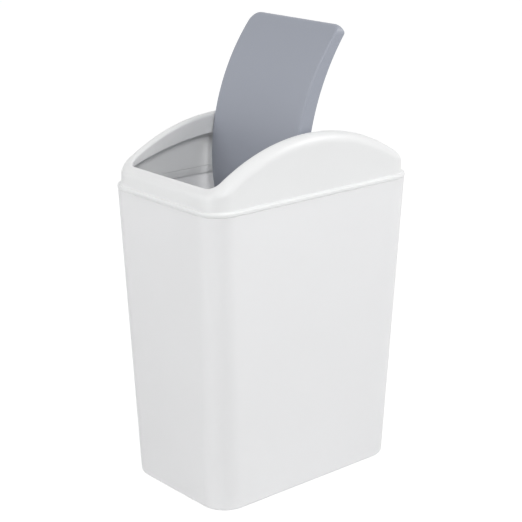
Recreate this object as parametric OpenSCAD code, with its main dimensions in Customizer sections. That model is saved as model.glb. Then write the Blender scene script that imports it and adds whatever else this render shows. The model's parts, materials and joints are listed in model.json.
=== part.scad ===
// Small trash can with a swing lid, in three moulded pieces: a tapered bin
// body, an arched frame that drops into its rim, and a curved flap that turns
// in the frame on two stub pins.
// Millimetres. X runs along the wide face, Y along the narrow one, +Z is up.
// The origin is the middle of the face that the body rests on.

/* [Bin body] */
// Width of the body across the rim
body_top_w = 240.3; // [220:0.1:260]
// Depth of the body across the rim
body_top_d = 154.5; // [145:0.1:170]
// Width of the body across the base
body_base_w = 218.1; // [195:0.1:225]
// Depth of the body across the base
body_base_d = 136.7; // [125:0.1:144]
// Height of the body
body_h = 280; // [230:1:330]
// Corner radius of the body at the rim
body_top_r = 23.3; // [20:0.1:30]
// Corner radius of the body at the base
body_base_r = 25.5; // [20:0.1:32]
// Thickness of the body's walls
body_wall = 2.2; // [1.6:0.1:3]
// Rounding of the rim's outer edge
rim_round = 0.8; // [0.4:0.1:1]
// Thickness of the floor
floor_t = 2; // [1.5:0.1:4]
// Height of the foot rim, which holds the floor off the ground
foot_h = 3; // [1.5:0.5:6]
// Width of the foot rim at the ground, fillet included
foot_w = 5; // [4:0.5:10]
// Outer fillet along the bottom edge
base_fillet = 2.5; // [1:0.5:3.5]
// Inner fillet between the walls and the floor
floor_fillet = 5; // [2:0.5:8]

/* [Lid frame] */
// Height of the arch's crown above the rim
crown_h = 56; // [48:0.5:66]
// Height of the arch above the rim where it meets the end walls
end_h = 15.3; // [12:0.1:18]
// Thickness of the frame's walls
frame_t = 2; // [1.6:0.1:2.4]
// Width of the two arched rails
side_rail_w = 14.4; // [13.8:0.1:18]
// Width of the two end rails
end_rail_w = 8.8; // [8.2:0.1:12]
// Outer rounding of the arched rails
side_crown_r = 10; // [6:0.5:10.5]
// Outer rounding of the end rails
end_crown_r = 8; // [5:0.5:8]
// Rounding along the opening on the arched rails
side_edge_r = 3; // [1.5:0.1:3.5]
// Rounding along the opening on the end rails
end_edge_r = 0.8; // [0.5:0.1:1.2]
// Corner radius of the opening
open_r = 9.5; // [8:0.5:10]
// How far the frame's walls lean in, from the bead up to the arch
wall_lean = 0.8; // [0:0.1:1.2]
// Depth of the inner skirt below the crown
skirt_mid_h = 18.6; // [18:0.1:24]
// Depth of the inner skirt at the end rails
skirt_end_h = 5.2; // [5:0.1:8]
// How far the bead on the rim stands out from the frame's wall
bead_out = 3.3; // [2.8:0.1:5]
// Height of the bead on the rim
bead_h = 3.7; // [2.5:0.1:6]
// Rounding of the bead's edges
bead_round = 1.1; // [0.4:0.1:1.2]
// How far the frame's wall reaches down inside the rim
plug_depth = 4; // [3:0.5:12]
// Clearance between that wall and the inside of the body
plug_gap = 0.5; // [0.3:0.05:0.8]
// Step on the inside of the frame, where the wall thins towards its lower edge
plug_step = 0.5; // [0.2:0.1:0.8]
// Height of that step above the rim
step_h = 3; // [0:0.5:3]

/* [Swing flap] */
// Angle by which the flap stands open, from level
flap_open = 80.7; // [0:0.1:90]
// Thickness of the flap
flap_t = 1.8; // [1.4:0.1:2.2]
// Gap between the flap's long edges and the rails
flap_side_gap = 1.1; // [0.8:0.1:2.5]
// Gap between the flap's ends and the end rails
flap_end_gap = 1.2; // [1:0.1:3]
// How far the closed flap lies below the arch of the rails
flap_sink = 0.5; // [0.3:0.1:1.5]
// Corner radius of the flap
flap_r = 9; // [9:0.5:11]
// Rounding of the flap's outer edge
flap_edge_r = 2; // [1:0.1:2.2]
// Depth of the flap's side skirts at the pivot
flap_skirt_mid_h = 14.7; // [13:0.1:16]
// Depth of the flap's side skirts where the corners begin
flap_skirt_end_h = 11.3; // [8:0.1:12]
// Depth of the lip across the flap's ends
flap_lip_h = 2.6; // [2.4:0.1:3]
// Length over which the side skirts run out to that lip, at their ends
flap_turn_l = 8; // [8:0.5:10]

/* [Pivot] */
// Depth of the pivot below the crown of the arch
pivot_drop = 12.2; // [11:0.1:14]
// Radius of the stub pins
pin_r = 3; // [2:0.1:3.5]
// Running clearance round the pins
pin_gap = 0.1; // [0.05:0.01:0.1]
// Length of the pins beyond the flap's sides
pin_l = 5.5; // [4:0.5:6]
// Radius of the ears that carry the pins on the flap's skirts
ear_r = 6.5; // [5.5:0.1:7]
// Radius of the sockets' bosses
boss_r = 6.2; // [5.5:0.1:7]
// Depth of the bosses behind the inner skirts
boss_l = 3; // [2:0.5:4]

/* [Smoothness] */
// Steps round each vertical corner
corner_n = 10; // [6:1:12]
// Steps along each arch
arch_n = 22; // [16:2:28]

/* [Hidden] */
pale = [0.91, 0.91, 0.92];
lid_pale = [0.94, 0.94, 0.94];
slate = [0.60, 0.62, 0.66];

// The frame's wall follows the inside of the body at the depth that it plugs to
floor_z = foot_h + floor_t;
plug_z = body_h - plug_depth;
frame_half = body_half(plug_z) - [1, 1] * (body_wall + plug_gap);
frame_r = body_r(plug_z) - body_wall - plug_gap;
open_half = frame_half - [end_rail_w, side_rail_w];

// Both rails, both end edges and the closed flap lie on arcs with one centre
crown_z = body_h + crown_h;
arch_r = arc_radius(frame_half.x, crown_h - end_h);
pivot_z = crown_z - pivot_drop;

// Lower edge of the inner skirts, an arc of its own
skirt_mid_z = crown_z - skirt_mid_h;
skirt_arc_r = arc_radius(open_half.x, skirt_mid_z - arch_z(open_half.x) + skirt_end_h);

// The flap is the opening less its gaps
flap_half = open_half - [flap_end_gap, flap_side_gap];
flap_arc_r = arch_r - flap_sink;
flap_mid_z = crown_z - flap_sink;
flap_low_x = flap_half.x - flap_r;
flap_low_mid_z = flap_mid_z - flap_skirt_mid_h;
flap_low_arc_r = arc_radius(flap_low_x, flap_low_mid_z - flap_arc_z(flap_low_x) + flap_skirt_end_h);

function lerp(a, b, s) = a + (b - a) * s;
function smooth(s) = s * s * (3 - 2 * s);
function unit(v) = v / norm(v);

// Radius of an arc with this half chord and rise, and its height at x
function arc_radius(half, rise) = (half * half + rise * rise) / (2 * rise);
function arc_z(x, r, top) = top - r + sqrt(r * r - x * x);
function arch_z(x) = arc_z(x, arch_r, crown_z);
function under_z(x) = arc_z(x, arch_r - frame_t, crown_z - frame_t);
function skirt_z(x) = arc_z(x, skirt_arc_r, skirt_mid_z);
function flap_arc_z(x) = arc_z(x, flap_arc_r, flap_mid_z);

// Depth of the flap's edge: its side skirts, which turn up to the lip at the ends
// so that they clear the opening as the flap swings
function flap_edge_h(x) =
    let (
        skirt = flap_arc_z(x) - arc_z(x, flap_low_arc_r, flap_low_mid_z),
        turn = min(1, (flap_half.x - abs(x)) / flap_turn_l))
    lerp(flap_lip_h, skirt, sin(90 * turn));

// Half size and corner radius of the body's outside at height z
function body_half(z) = [lerp(body_base_w, body_top_w, z / body_h),
                         lerp(body_base_d, body_top_d, z / body_h)] / 2;
function body_r(z) = lerp(body_base_r, body_top_r, z / body_h);

// Half of a rounded rectangle: one end, a corner, a long side and a corner
function half_outline(h, r, side_n) = concat(
    [[h.x, r - h.y]],
    [for (k = [0 : corner_n - 1]) [h.x - r, h.y - r] + turn([r, 0], 90 * k / corner_n)],
    [for (k = [0 : side_n - 1]) [(h.x - r) * (1 - 2 * k / side_n), h.y]],
    [for (k = [0 : corner_n - 1]) [r - h.x, h.y - r] + turn([0, r], 90 * k / corner_n)]);
function outline(h, r, side_n) =
    let (half = half_outline(h, r, side_n)) concat(half, [for (p = half) -p]);

// How far each station of the outline belongs to an end, from 0 to 1
function end_share(side_n) =
    let (half = concat(
        [1],
        [for (k = [0 : corner_n - 1]) smooth(1 - k / corner_n)],
        [for (k = [0 : side_n - 1]) 0],
        [for (k = [0 : corner_n - 1]) smooth(k / corner_n)]))
    concat(half, half);

function turn(v, a) = [v.x * cos(a) - v.y * sin(a), v.x * sin(a) + v.y * cos(a)];

// Arc of radius r in the corner at p, between edges that leave it along a and b
function rounded(p, a, b, r, n) =
    let (
        half = acos(a * b) / 2,
        centre = p + unit(a + b) * r / sin(half),
        start = p + a * r / tan(half) - centre,
        way = sign(cross(start, p + b * r / tan(half) - centre)))
    [for (k = [0 : n]) centre + turn(start, way * (180 - 2 * half) * k / n)];

// Triangles between rings of n points that follow each other outwards and up
function bands(rings_n, n, closed) = [
    for (i = [0 : rings_n - (closed ? 1 : 2)], j = [0 : n - 1])
        let (
            a = i * n + j,
            b = i * n + (j + 1) % n,
            c = (i + 1) % rings_n * n + j,
            d = (i + 1) % rings_n * n + (j + 1) % n)
        each [[a, d, b], [a, c, d]]];

// Strips across a ring, between stations that mirror each other
function cap(first, n, upward) = [
    for (j = [0 : n / 2 - 2])
        let (
            p = first + 1 + j,
            q = first + (n - j) % n,
            p_next = p + 1,
            q_next = first + n - j - 1)
        each upward ? [[q, q_next, p_next], [q, p_next, p]]
                    : [[q, p_next, q_next], [q, p, p_next]]];

// Solid through a list of rings: closed on itself, or capped at both ends
module skin(rings, closed = false) {
    n = len(rings[0]);
    caps = closed ? [] : concat(cap(0, n, false), cap((len(rings) - 1) * n, n, true));
    polyhedron(
        points = [for (ring = rings) each ring],
        faces = concat(bands(len(rings), n, closed), caps),
        convexity = 10);
}

// Level ring round the body, at height z and so far inside its outer face
function body_ring(z, inset) = [
    for (p = outline(body_half(z) - [inset, inset], body_r(z) - inset, 1)) [p.x, p.y, z]];

module bin_body() {
    steps = 5;
    quarter = [for (k = [0 : steps]) 90 * k / steps];
    color(pale)
        skin(concat(
            [body_ring(foot_h, foot_w + foot_h / 3), body_ring(0, foot_w)],
            [for (a = quarter) body_ring(base_fillet * (1 - cos(a)), base_fillet * (1 - sin(a)))],
            [for (a = [0, 45, 90]) body_ring(body_h - rim_round * (1 - sin(a)), rim_round * (1 - cos(a)))],
            [body_ring(body_h, body_wall)],
            [for (a = quarter) body_ring(floor_z + floor_fillet * (1 - sin(a)),
                                         body_wall + floor_fillet * (1 - cos(a)))]));
}

// Section of the frame at one station, as [distance in from the wall, height].
// x0 and x1 are the station's places on the wall and on the opening's edge,
// w is the distance between them.
function frame_section(x0, x1, w, share) =
    let (
        down = [0, -1],
        slope = (x1 - x0) / w,
        crown_r = lerp(side_crown_r, end_crown_r, share),
        edge_r = lerp(side_edge_r, end_edge_r, share),
        rail = unit([w, arch_z(x1) - arch_z(x0)]),
        back = w - frame_t,
        bead_z = body_h + bead_h,
        brow = [wall_lean, arch_z(x0 + slope * wall_lean)],
        wall = unit([0, bead_z] - brow))
    concat(
        [[plug_step, plug_z], [0, plug_z + 2 * plug_step], [0, body_h]],
        rounded([-bead_out, body_h], [1, 0], [0, 1], bead_round, 2),
        rounded([-bead_out, bead_z], down, [1, 0], bead_round, 2),
        rounded([0, bead_z], [-1, 0], [0, 1], bead_round, 2),
        rounded(brow, wall, rail, crown_r, 6),
        rounded([w, arch_z(x1)], -rail, down, edge_r, 4),
        [[w, skirt_z(x1)], [back, skirt_z(x1)], [back, under_z(x0 + slope * back)]],
        rounded([frame_t + wall_lean, under_z(x0 + slope * (frame_t + wall_lean))],
                rail, wall, crown_r - frame_t, 3),
        [[frame_t, body_h + step_h],
         [frame_t - plug_step, body_h + step_h - plug_step],
         [frame_t - plug_step, plug_z]]);

// The section at every station round the frame, in place
function frame_sections() =
    let (
        wall = outline(frame_half, frame_r, arch_n),
        beyond = outline(frame_half + [1, 1], frame_r + 1, arch_n),
        edge = outline(open_half, open_r, arch_n),
        share = end_share(arch_n))
    [for (i = [0 : len(wall) - 1])
        let (w = norm(edge[i] - wall[i]))
        [for (q = frame_section(wall[i].x, edge[i].x, w, share[i]))
            let (p = q[0] < 0 ? lerp(wall[i], beyond[i], -q[0]) : lerp(wall[i], edge[i], q[0] / w))
            [p.x, p.y, q[1]]]];

// Round bar along Y at the pivot, on both sides, from one |y| to another
module pivot_bars(r, from, to) {
    for (side = [-1, 1])
        translate([0, side * from, pivot_z])
            rotate([-90 * side, 0, 0])
                cylinder(h = to - from, r = r, $fn = 48);
}

module lid_frame() {
    sections = frame_sections();
    color(lid_pale)
        difference() {
            union() {
                skin([for (m = [0 : len(sections[0]) - 1]) [for (s = sections) s[m]]], closed = true);
                pivot_bars(boss_r, open_half.y + frame_t / 2, open_half.y + frame_t + boss_l);
            }
            pivot_bars(pin_r + pin_gap, open_half.y - 1, open_half.y + frame_t + boss_l + 1);
        }
}

// Ring round the level flap, so far inside its edge: either on the lower edge
// or so far below the outer arc
function flap_ring(inset, low, drop) =
    let (
        edge = outline(flap_half, flap_r, arch_n),
        ring = outline(flap_half - [inset, inset], flap_r - inset, arch_n))
    [for (i = [0 : len(ring) - 1])
        [ring[i].x, ring[i].y, flap_arc_z(ring[i].x) - (low ? flap_edge_h(edge[i].x) : drop)]];

// The flap as it lies when level, with its ears and stub pins
module level_flap() {
    skin(concat(
        [flap_ring(flap_t, false, flap_t), flap_ring(flap_t, true), flap_ring(0, true)],
        [for (a = [0 : 30 : 90])
            flap_ring(flap_edge_r * (1 - cos(a)), false, flap_edge_r * (1 - sin(a)))]));
    pivot_bars(ear_r, flap_half.y - flap_t, flap_half.y);
    pivot_bars(pin_r, flap_half.y - flap_t / 2, flap_half.y + pin_l);
}

module swing_flap() {
    color(slate)
        translate([0, 0, pivot_z])
            rotate([0, -flap_open, 0])
                translate([0, 0, -pivot_z])
                    level_flap();
}

bin_body();
lid_frame();
swing_flap();
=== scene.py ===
"""Looks of a small trash can with a swing lid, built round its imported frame.

Shapes are in millimetres, from the same driving dimensions as the solids have,
and become metres in add_mesh. Materials, lamps and camera are in metres.
X runs along the wide face, Y along the narrow one, +Z is up, and the origin is
the middle of the face that the bin rests on.
"""

import json
import math

import bmesh
import bpy
import numpy as np
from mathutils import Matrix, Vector


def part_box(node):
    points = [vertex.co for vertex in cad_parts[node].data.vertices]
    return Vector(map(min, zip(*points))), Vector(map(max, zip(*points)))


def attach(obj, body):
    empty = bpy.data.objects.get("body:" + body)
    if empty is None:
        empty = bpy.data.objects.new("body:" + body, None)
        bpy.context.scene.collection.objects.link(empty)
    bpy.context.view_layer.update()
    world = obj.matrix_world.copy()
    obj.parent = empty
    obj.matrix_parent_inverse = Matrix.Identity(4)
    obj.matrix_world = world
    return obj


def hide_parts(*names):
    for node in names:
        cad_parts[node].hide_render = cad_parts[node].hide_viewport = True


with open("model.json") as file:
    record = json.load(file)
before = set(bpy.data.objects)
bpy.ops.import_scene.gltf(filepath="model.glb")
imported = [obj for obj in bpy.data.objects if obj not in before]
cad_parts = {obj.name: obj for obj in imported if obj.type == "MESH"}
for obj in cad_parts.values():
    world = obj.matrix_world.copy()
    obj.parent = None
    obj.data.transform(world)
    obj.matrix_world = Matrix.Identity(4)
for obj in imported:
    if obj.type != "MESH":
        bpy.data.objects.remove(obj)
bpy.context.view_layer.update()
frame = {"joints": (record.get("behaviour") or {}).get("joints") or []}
MM = 0.001


def box_mm(node):
    """Lowest and highest corner of a CAD node, in millimetres."""
    return [np.array(corner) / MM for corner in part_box(node)]


# Bin body. Its rim and height come from the frame.
body_high = box_mm("bin_body")[1]
BODY_H = body_high[2]
BODY_TOP = body_high[:2]
BODY_BASE = np.array([109.05, 68.35])
BODY_TOP_R = 23.3
BODY_BASE_R = 25.5
BODY_WALL = 2.2
RIM_ROUND = 0.8
FLOOR_T = 2.0
FOOT_H = 3.0
FOOT_W = 5.0
FOOT_LEAN = FOOT_H / 3
BASE_FILLET = 2.5
FLOOR_FILLET = 5.0

# Lid frame. Its crown comes from the frame.
frame_low, frame_high = box_mm("lid_frame")
CROWN_Z = frame_high[2]
PLUG_Z = frame_low[2]
END_H = 15.3
FRAME_T = 2.0
SIDE_RAIL_W = 14.4
END_RAIL_W = 8.8
SIDE_CROWN_R = 10.0
END_CROWN_R = 8.0
SIDE_EDGE_R = 3.0
END_EDGE_R = 0.8
OPEN_R = 9.5
WALL_LEAN = 0.8
SKIRT_MID_H = 18.6
SKIRT_END_H = 5.2
BEAD_OUT = 3.3
BEAD_H = 3.7
BEAD_ROUND = 1.1
PLUG_GAP = 0.5
PLUG_STEP = 0.5
STEP_H = 3.0

# Swing flap
FLAP_T = 1.8
FLAP_SIDE_GAP = 1.1
FLAP_END_GAP = 1.2
FLAP_SINK = 0.5
FLAP_R = 9.0
FLAP_EDGE_R = 2.0
FLAP_SKIRT_MID_H = 14.7
FLAP_SKIRT_END_H = 11.3
FLAP_LIP_H = 2.6
FLAP_TURN_L = 8.0

# Pivot. Its place and the flap's rest angle come from the hinge.
hinge = next(j for j in frame["joints"] if j["name"] == "flap_swing")
PIVOT_Z = hinge["pos_m"][2] / MM
FLAP_OPEN = sum(hinge["range_deg"]) / 2
PIN_R = 3.0
PIN_GAP = 0.1
PIN_L = 5.5
EAR_R = 6.5
BOSS_R = 6.2
BOSS_L = 3.0
BORE_PAST = 1.0

# Steps of the meshes, and the least angle in degrees that stays a sharp edge
CORNER_N = 18
SIDE_N = 72
END_N = 12
WALL_N = 12
FILLET_N = 6
BEAD_N = 4
CROWN_N = 12
ROUND_N = 64
SHARP_ANGLE = 32


def lerp(a, b, s):
    return a + (b - a) * s


def unit(v):
    return v / np.linalg.norm(v)


def ease(s):
    """Share that leaves 0 and reaches 1 without a kink."""
    return s * s * (3 - 2 * s)


def arc_radius(half, rise):
    """Radius of an arc with this half chord and rise."""
    return (half * half + rise * rise) / (2 * rise)


def arc_z(x, r, top):
    return top - r + math.sqrt(r * r - x * x)


def body_half(z):
    return lerp(BODY_BASE, BODY_TOP, z / BODY_H)


def body_r(z):
    return lerp(BODY_BASE_R, BODY_TOP_R, z / BODY_H)


FRAME_HALF = body_half(PLUG_Z) - (BODY_WALL + PLUG_GAP)
FRAME_R = body_r(PLUG_Z) - BODY_WALL - PLUG_GAP
OPEN_HALF = FRAME_HALF - np.array([END_RAIL_W, SIDE_RAIL_W])
ARCH_R = arc_radius(FRAME_HALF[0], CROWN_Z - BODY_H - END_H)
SKIRT_MID_Z = CROWN_Z - SKIRT_MID_H
FLAP_HALF = OPEN_HALF - np.array([FLAP_END_GAP, FLAP_SIDE_GAP])
FLAP_ARC_R = ARCH_R - FLAP_SINK
FLAP_MID_Z = CROWN_Z - FLAP_SINK
FLAP_LOW_X = FLAP_HALF[0] - FLAP_R


def arch_z(x):
    return arc_z(x, ARCH_R, CROWN_Z)


def under_z(x):
    return arc_z(x, ARCH_R - FRAME_T, CROWN_Z - FRAME_T)


SKIRT_ARC_R = arc_radius(OPEN_HALF[0], SKIRT_MID_Z - arch_z(OPEN_HALF[0]) + SKIRT_END_H)


def skirt_z(x):
    return arc_z(x, SKIRT_ARC_R, SKIRT_MID_Z)


def flap_arc_z(x):
    return arc_z(x, FLAP_ARC_R, FLAP_MID_Z)


FLAP_LOW_MID_Z = FLAP_MID_Z - FLAP_SKIRT_MID_H
FLAP_LOW_ARC_R = arc_radius(FLAP_LOW_X, FLAP_LOW_MID_Z - flap_arc_z(FLAP_LOW_X) + FLAP_SKIRT_END_H)


def flap_edge_h(x):
    """Depth of the flap's edge: its side skirts, which turn up to the lip at the ends."""
    skirt = flap_arc_z(x) - arc_z(x, FLAP_LOW_ARC_R, FLAP_LOW_MID_Z)
    turn = min(1.0, (FLAP_HALF[0] - abs(x)) / FLAP_TURN_L)
    return lerp(FLAP_LIP_H, skirt, math.sin(math.pi / 2 * turn))


def outline(half, r):
    """Rounded rectangle as points with the share, 0 to 1, by which each belongs to an end."""
    quarter = [(math.cos(a), math.sin(a), ease(1 - k / CORNER_N))
               for k, a in enumerate(np.linspace(0, math.pi / 2, CORNER_N + 1))]
    cx, cy = half - r
    points = [(half[0], y, 1.0) for y in np.linspace(-cy, cy, END_N + 1)[:-1]]
    points += [(cx + r * c, cy + r * s, share) for c, s, share in quarter[:-1]]
    points += [(x, half[1], 0.0) for x in np.linspace(cx, -cx, SIDE_N + 1)[:-1]]
    points += [(-cx - r * s, cy + r * c, 1 - share) for c, s, share in quarter[:-1]]
    points += [(-x, -y, share) for x, y, share in points]
    return np.array(points)


def rounded(p, a, b, r, n):
    """Arc of radius r in the corner at p, between edges that leave it along a and b."""
    p, a, b = (np.array(v, float) for v in (p, a, b))
    half = math.acos(max(-1.0, min(1.0, float(a @ b)))) / 2
    centre = p + unit(a + b) * r / math.sin(half)
    start = p + a * r / math.tan(half) - centre
    end = p + b * r / math.tan(half) - centre
    way = math.copysign(1, start[0] * end[1] - start[1] * end[0])
    turn = way * (math.pi - 2 * half)
    return [centre + np.array([start[0] * math.cos(t) - start[1] * math.sin(t),
                               start[0] * math.sin(t) + start[1] * math.cos(t)])
            for t in np.linspace(0, turn, n + 1)]


def quarter_round(r):
    """Steps round a fillet, each as its distance from the side it leaves and the one it joins."""
    return [(r * (1 - math.cos(a)), r * (1 - math.sin(a)))
            for a in np.linspace(0, math.pi / 2, FILLET_N + 1)]


def add_object(name, data):
    obj = bpy.data.objects.new(name, data)
    bpy.context.scene.collection.objects.link(obj)
    return obj


def add_mesh(name, points, faces):
    """Mesh object through points in millimetres, with its faces turned outward."""
    mesh = bpy.data.meshes.new(name)
    mesh.from_pydata([tuple(MM * c for c in p) for p in points], [], faces)
    work = bmesh.new()
    work.from_mesh(mesh)
    bmesh.ops.recalc_face_normals(work, faces=work.faces)
    work.to_mesh(mesh)
    work.free()
    return add_object(name, mesh)


def skin(name, rings, closed=False):
    """Mesh object through a list of rings of as many points: closed on itself, or capped."""
    count = len(rings[0])
    faces = []
    for i in range(len(rings) if closed else len(rings) - 1):
        low = i * count
        high = (i + 1) % len(rings) * count
        for j in range(count):
            k = (j + 1) % count
            faces.append((low + j, low + k, high + k, high + j))
    if not closed:
        for first, upward in ((0, False), ((len(rings) - 1) * count, True)):
            faces += cap(first, count, upward)
    return add_mesh(name, [p for ring in rings for p in ring], faces)


def cap(first, count, upward):
    """Strips across a ring, between stations that mirror each other in the XZ plane.

    The first and last strip take in all stations of a straight end, so that none is flat.
    """
    axis = END_N // 2
    reach = axis + 1
    strips = [range(middle - reach, middle + reach + 1) for middle in (axis, axis + count // 2)]
    for j in range(reach, count // 2 - reach):
        strips.append((axis + j, axis + j + 1, axis - j - 1, axis - j))
    strips = [[first + k % count for k in strip] for strip in strips]
    return strips if upward else [strip[::-1] for strip in strips]


def rod(name, r, start, end):
    """Round bar along the pivot's axis, from one y to another."""
    points = [(r * math.cos(a), y, PIVOT_Z + r * math.sin(a)) for y in (start, end)
              for a in np.linspace(0, 2 * math.pi, ROUND_N, endpoint=False)]
    faces = [(j, (j + 1) % ROUND_N, ROUND_N + (j + 1) % ROUND_N, ROUND_N + j) for j in range(ROUND_N)]
    faces += [tuple(range(ROUND_N))[::-1], tuple(range(ROUND_N, 2 * ROUND_N))]
    return add_mesh(name, points, faces)


def combine(obj, tools, operation):
    """Adds the tools to obj, or cuts them out of it, and deletes them."""
    for tool in tools:
        modifier = obj.modifiers.new(operation, "BOOLEAN")
        modifier.operation = operation
        modifier.solver = "MANIFOLD"
        modifier.object = tool
        graph = bpy.context.evaluated_depsgraph_get()
        mesh = bpy.data.meshes.new_from_object(obj.evaluated_get(graph))
        obj.modifiers.clear()
        obj.data = mesh
        bpy.data.objects.remove(tool)


def smooth(obj):
    """Smooth shading that keeps flat faces flat next to their fillets."""
    obj.data.shade_smooth()
    obj.data.set_sharp_from_angle(angle=math.radians(SHARP_ANGLE))
    weighted = obj.modifiers.new("weighted", "WEIGHTED_NORMAL")
    weighted.mode = "FACE_AREA_WITH_ANGLE"
    weighted.keep_sharp = True


def body_ring(z, inset):
    points = outline(body_half(z) - inset, body_r(z) - inset)
    return [(x, y, z) for x, y, _ in points]


def make_bin_body():
    """Tapered body on a foot rim, with a rounded rim and a fillet round its floor.

    The rings run up the outside from under the floor, and down the inside.
    """
    floor_z = FOOT_H + FLOOR_T
    outside = np.linspace(BASE_FILLET, BODY_H - RIM_ROUND, WALL_N + 1)[1:-1]
    inside = np.linspace(BODY_H, floor_z + FLOOR_FILLET, WALL_N + 1)[1:-1]
    rings = [body_ring(FOOT_H, FOOT_W + FOOT_LEAN), body_ring(0, FOOT_W)]
    rings += [body_ring(near, far) for near, far in quarter_round(BASE_FILLET)]
    rings += [body_ring(z, 0) for z in outside]
    rings += [body_ring(BODY_H - far, near) for near, far in quarter_round(RIM_ROUND)]
    rings += [body_ring(BODY_H, BODY_WALL)]
    rings += [body_ring(z, BODY_WALL) for z in inside]
    rings += [body_ring(floor_z + far, BODY_WALL + near) for near, far in quarter_round(FLOOR_FILLET)]
    return skin("bin_body_skin", rings)


def frame_section(x0, x1, w, share):
    """Section of the frame at one station, as (distance in from the wall, height)."""
    down = np.array([0.0, -1.0])
    slope = (x1 - x0) / w
    crown_r = lerp(SIDE_CROWN_R, END_CROWN_R, share)
    edge_r = lerp(SIDE_EDGE_R, END_EDGE_R, share)
    rail = unit(np.array([w, arch_z(x1) - arch_z(x0)]))
    back = w - FRAME_T
    bead_z = BODY_H + BEAD_H
    brow = np.array([WALL_LEAN, arch_z(x0 + slope * WALL_LEAN)])
    wall = unit(np.array([0, bead_z]) - brow)
    inner = FRAME_T + WALL_LEAN
    section = [(PLUG_STEP, PLUG_Z), (0, PLUG_Z + 2 * PLUG_STEP), (0, BODY_H)]
    section += rounded((-BEAD_OUT, BODY_H), (1, 0), (0, 1), BEAD_ROUND, BEAD_N)
    section += rounded((-BEAD_OUT, bead_z), down, (1, 0), BEAD_ROUND, BEAD_N)
    section += rounded((0, bead_z), (-1, 0), (0, 1), BEAD_ROUND, BEAD_N)
    section += rounded(brow, wall, rail, crown_r, CROWN_N)
    section += rounded((w, arch_z(x1)), -rail, down, edge_r, FILLET_N)
    section += [(w, skirt_z(x1)), (back, skirt_z(x1)), (back, under_z(x0 + slope * back))]
    section += rounded((inner, under_z(x0 + slope * inner)), rail, wall, crown_r - FRAME_T, FILLET_N)
    section += [(FRAME_T, BODY_H + STEP_H), (FRAME_T - PLUG_STEP, BODY_H + STEP_H - PLUG_STEP),
                (FRAME_T - PLUG_STEP, PLUG_Z)]
    return section


def make_lid_frame():
    """The frame's section swept round the rim, with the sockets in its inner skirts.

    The bead lies outside the wall, and beyond is the wall's outline one millimetre further out.
    """
    wall = outline(FRAME_HALF, FRAME_R)
    beyond = outline(FRAME_HALF + 1, FRAME_R + 1)
    edge = outline(OPEN_HALF, OPEN_R)
    sections = []
    for p0, out, p1 in zip(wall, beyond, edge):
        w = math.hypot(*(p1 - p0)[:2])
        station = []
        for t, z in frame_section(p0[0], p1[0], w, p0[2]):
            x, y = lerp(p0, out, -t)[:2] if t < 0 else lerp(p0, p1, t / w)[:2]
            station.append((x, y, z))
        sections.append(station)
    rings = [[s[m] for s in sections] for m in range(len(sections[0]))]
    obj = skin("lid_frame_skin", rings, closed=True)
    mouth = OPEN_HALF[1]
    boss_end = mouth + FRAME_T + BOSS_L
    bosses = [rod("boss", BOSS_R, side * (mouth + FRAME_T / 2), side * boss_end)
              for side in (-1, 1)]
    bores = [rod("bore", PIN_R + PIN_GAP, side * (mouth - BORE_PAST), side * (boss_end + BORE_PAST))
             for side in (-1, 1)]
    combine(obj, bosses, "UNION")
    combine(obj, bores, "DIFFERENCE")
    return obj


def flap_ring(inset, low=False, drop=0.0):
    """Ring round the level flap: on its lower edge, or so far below its outer arc."""
    edge = outline(FLAP_HALF, FLAP_R)
    ring = outline(FLAP_HALF - inset, FLAP_R - inset)
    return [(x, y, flap_arc_z(x) - (flap_edge_h(outer[0]) if low else drop))
            for (x, y, _), outer in zip(ring, edge)]


def make_swing_flap():
    """The flap as it lies level, with its ears and stub pins, then turned to its rest angle."""
    rings = [flap_ring(FLAP_T, drop=FLAP_T), flap_ring(FLAP_T, low=True), flap_ring(0, low=True)]
    rings += [flap_ring(near, drop=far) for near, far in quarter_round(FLAP_EDGE_R)]
    obj = skin("swing_flap_skin", rings)
    side_y = FLAP_HALF[1]
    ears = [rod("ear", EAR_R, side * (side_y - FLAP_T), side * side_y) for side in (-1, 1)]
    pins = [rod("pin", PIN_R, side * (side_y - FLAP_T / 2), side * (side_y + PIN_L))
            for side in (-1, 1)]
    combine(obj, ears + pins, "UNION")
    turn = math.radians(-FLAP_OPEN)
    for v in obj.data.vertices:
        x, z = v.co.x, v.co.z - MM * PIVOT_Z
        v.co.x = x * math.cos(turn) + z * math.sin(turn)
        v.co.z = MM * PIVOT_Z - x * math.sin(turn) + z * math.cos(turn)
    return obj


# Plastic. Lengths are in metres, and noise scales are in cells a metre.
PLASTIC_IOR = 1.49
SCATTER_DEPTH = 0.003
FLOW_SCALE = 9.0
FLOW_DETAIL = 3.0
FLOW_DARK = 0.985
FLOW_LIGHT = 1.012
GRAIN_SCALE = 1400.0
GRAIN_DETAIL = 2.0
GRAIN_DEPTH = 0.00004
GLOSS_SPREAD = 0.04
BODY_WHITE = (0.891, 0.894, 0.903)
LID_WHITE = (0.866, 0.872, 0.873)
FLAP_SLATE = (0.334, 0.355, 0.411)


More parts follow.
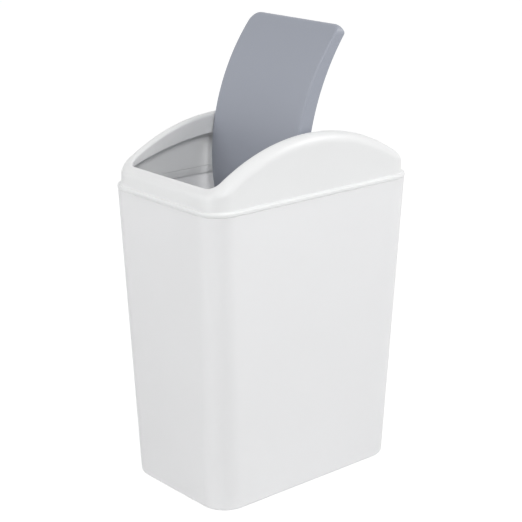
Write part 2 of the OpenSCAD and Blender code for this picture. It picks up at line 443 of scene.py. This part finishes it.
def moulded_plastic(name, colour, roughness, grain, milkiness=0.0):
    """Satin moulded plastic: faint flow variation, a fine spark-eroded grain, soft gloss.

    Milkiness is the share of light that scatters inside the wall, as in white polypropylene.
    """
    material = bpy.data.materials.new(name)
    material.use_nodes = True
    nodes, links = material.node_tree.nodes, material.node_tree.links
    shader = nodes["Principled BSDF"]
    shader.inputs["IOR"].default_value = PLASTIC_IOR
    shader.inputs["Subsurface Weight"].default_value = milkiness
    shader.inputs["Subsurface Radius"].default_value = (1.0, 1.0, 1.0)
    shader.inputs["Subsurface Scale"].default_value = SCATTER_DEPTH
    place = nodes.new("ShaderNodeTexCoord").outputs["Object"]

    flow = nodes.new("ShaderNodeTexNoise")
    flow.inputs["Scale"].default_value = FLOW_SCALE
    flow.inputs["Detail"].default_value = FLOW_DETAIL
    links.new(place, flow.inputs["Vector"])
    tint = nodes.new("ShaderNodeMixRGB")
    tint.inputs["Color1"].default_value = (*[c * FLOW_DARK for c in colour], 1)
    tint.inputs["Color2"].default_value = (*[min(1.0, c * FLOW_LIGHT) for c in colour], 1)
    links.new(flow.outputs["Fac"], tint.inputs["Fac"])
    links.new(tint.outputs["Color"], shader.inputs["Base Color"])

    fine = nodes.new("ShaderNodeTexNoise")
    fine.inputs["Scale"].default_value = GRAIN_SCALE
    fine.inputs["Detail"].default_value = GRAIN_DETAIL
    links.new(place, fine.inputs["Vector"])
    gloss = nodes.new("ShaderNodeMapRange")
    gloss.inputs["To Min"].default_value = roughness - GLOSS_SPREAD
    gloss.inputs["To Max"].default_value = roughness + GLOSS_SPREAD
    links.new(fine.outputs["Fac"], gloss.inputs["Value"])
    links.new(gloss.outputs["Result"], shader.inputs["Roughness"])

    bump = nodes.new("ShaderNodeBump")
    bump.inputs["Strength"].default_value = grain
    bump.inputs["Distance"].default_value = GRAIN_DEPTH
    links.new(fine.outputs["Fac"], bump.inputs["Height"])
    links.new(bump.outputs["Normal"], shader.inputs["Normal"])
    return material


def dress(obj, node, body, material):
    """Gives a finished mesh its shading and material, and puts it in the node's place."""
    smooth(obj)
    obj.data.materials.clear()
    obj.data.materials.append(material)
    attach(obj, body)
    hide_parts(node)


dress(make_bin_body(), "bin_body", "bin",
      moulded_plastic("bin_plastic_satin", BODY_WHITE,
                      roughness=0.48, grain=0.5, milkiness=0.55))
dress(make_lid_frame(), "lid_frame", "lid",
      moulded_plastic("lid_plastic_satin", LID_WHITE,
                      roughness=0.40, grain=0.4, milkiness=0.55))
dress(make_swing_flap(), "swing_flap", "flap",
      moulded_plastic("flap_plastic_satin", FLAP_SLATE,
                      roughness=0.42, grain=0.5))


def white_to_camera(tree, plain, white):
    """Mixes two shaders: the camera, mirrors and clear things see white, light sees plain."""
    rays = tree.nodes.new("ShaderNodeLightPath")
    seen = rays.outputs["Is Camera Ray"]
    for other in ("Is Glossy Ray", "Is Transmission Ray"):
        either = tree.nodes.new("ShaderNodeMath")
        either.operation = "MAXIMUM"
        tree.links.new(seen, either.inputs[0])
        tree.links.new(rays.outputs[other], either.inputs[1])
        seen = either.outputs[0]
    mix = tree.nodes.new("ShaderNodeMixShader")
    tree.links.new(seen, mix.inputs["Fac"])
    tree.links.new(plain, mix.inputs[1])
    tree.links.new(white, mix.inputs[2])
    return mix.outputs[0]


# Floor: half its side in millimetres, its colours for the light and for the camera, its glow
FLOOR_HALF = 6000.0
FLOOR_PLAIN = (0.8, 0.8, 0.8, 1)
FLOOR_SHADED = (0.2, 0.2, 0.2, 1)
FLOOR_GLOW = 0.93
PURE_WHITE = (1, 1, 1, 1)


def make_floor():
    """Plain pale floor, whose seen side glows up to the white background and takes shadows."""
    corners = [(-FLOOR_HALF, -FLOOR_HALF, 0), (FLOOR_HALF, -FLOOR_HALF, 0),
               (FLOOR_HALF, FLOOR_HALF, 0), (-FLOOR_HALF, FLOOR_HALF, 0)]
    floor = add_mesh("floor", corners, [(0, 1, 2, 3)])
    material = bpy.data.materials.new("floor_white")
    material.use_nodes = True
    tree = material.node_tree
    tree.nodes.remove(tree.nodes["Principled BSDF"])
    plain = tree.nodes.new("ShaderNodeBsdfDiffuse")
    plain.inputs["Color"].default_value = FLOOR_PLAIN
    shaded = tree.nodes.new("ShaderNodeBsdfDiffuse")
    shaded.inputs["Color"].default_value = FLOOR_SHADED
    glow = tree.nodes.new("ShaderNodeEmission")
    glow.inputs["Strength"].default_value = FLOOR_GLOW
    both = tree.nodes.new("ShaderNodeAddShader")
    tree.links.new(shaded.outputs[0], both.inputs[0])
    tree.links.new(glow.outputs[0], both.inputs[1])
    out = white_to_camera(tree, plain.outputs[0], both.outputs[0])
    tree.links.new(out, tree.nodes["Material Output"].inputs["Surface"])
    floor.data.materials.append(material)


def make_world(strength):
    """Even light of this strength from all round, in front of a white background."""
    world = bpy.data.worlds.new("studio")
    bpy.context.scene.world = world
    world.use_nodes = True
    tree = world.node_tree
    plain = tree.nodes["Background"]
    plain.inputs["Color"].default_value = PURE_WHITE
    plain.inputs["Strength"].default_value = strength
    white = tree.nodes.new("ShaderNodeBackground")
    white.inputs["Color"].default_value = PURE_WHITE
    white.inputs["Strength"].default_value = 1.0
    out = white_to_camera(tree, plain.outputs[0], white.outputs[0])
    tree.links.new(out, tree.nodes["World Output"].inputs["Surface"])


# Lamps: the point that they face, and how far off they stand
LAMP_AIM = Vector((0, 0, 0.25))
LAMP_DISTANCE = 2.0


def softbox(name, bearing, elevation, size, watts):
    """Square area lamp, so many degrees round from +X and up from level."""
    light = bpy.data.lights.new(name, "AREA")
    light.size = size
    light.energy = watts
    obj = add_object(name, light)
    bearing, elevation = math.radians(bearing), math.radians(elevation)
    away = Vector((math.cos(elevation) * math.cos(bearing),
                   math.cos(elevation) * math.sin(bearing),
                   math.sin(elevation)))
    obj.location = LAMP_AIM + LAMP_DISTANCE * away
    obj.rotation_euler = away.to_track_quat("Z", "Y").to_euler()


# Camera, solved from the edges of the body in the photograph
CAMERA_PLACE = Vector((-0.8622, -0.9993, 0.6198))
CAMERA_AIM = Vector((-0.00126, 0.00109, 0.20187))
LENS = 101.84
SENSOR_W = 36.0
PHOTO_SIDE = 522
HALF_PIXEL = 0.5
CLIP_END = 50


def make_camera():
    data = bpy.data.cameras.new("camera")
    data.sensor_width = SENSOR_W
    data.lens = LENS
    data.shift_x = -HALF_PIXEL / PHOTO_SIDE
    data.shift_y = HALF_PIXEL / PHOTO_SIDE
    data.clip_end = CLIP_END
    camera = add_object("camera", data)
    camera.location = CAMERA_PLACE
    camera.rotation_euler = (CAMERA_AIM - CAMERA_PLACE).to_track_quat("-Z", "Y").to_euler()
    bpy.context.scene.camera = camera


make_floor()
make_world(strength=0.37)
softbox("front_soft", bearing=245, elevation=32, size=0.5, watts=11.4)
softbox("left_soft", bearing=163, elevation=30, size=1.4, watts=13.1)
softbox("right_soft", bearing=320, elevation=40, size=0.6, watts=14.3)
make_camera()
bpy.context.scene.view_settings.view_transform = "Standard"
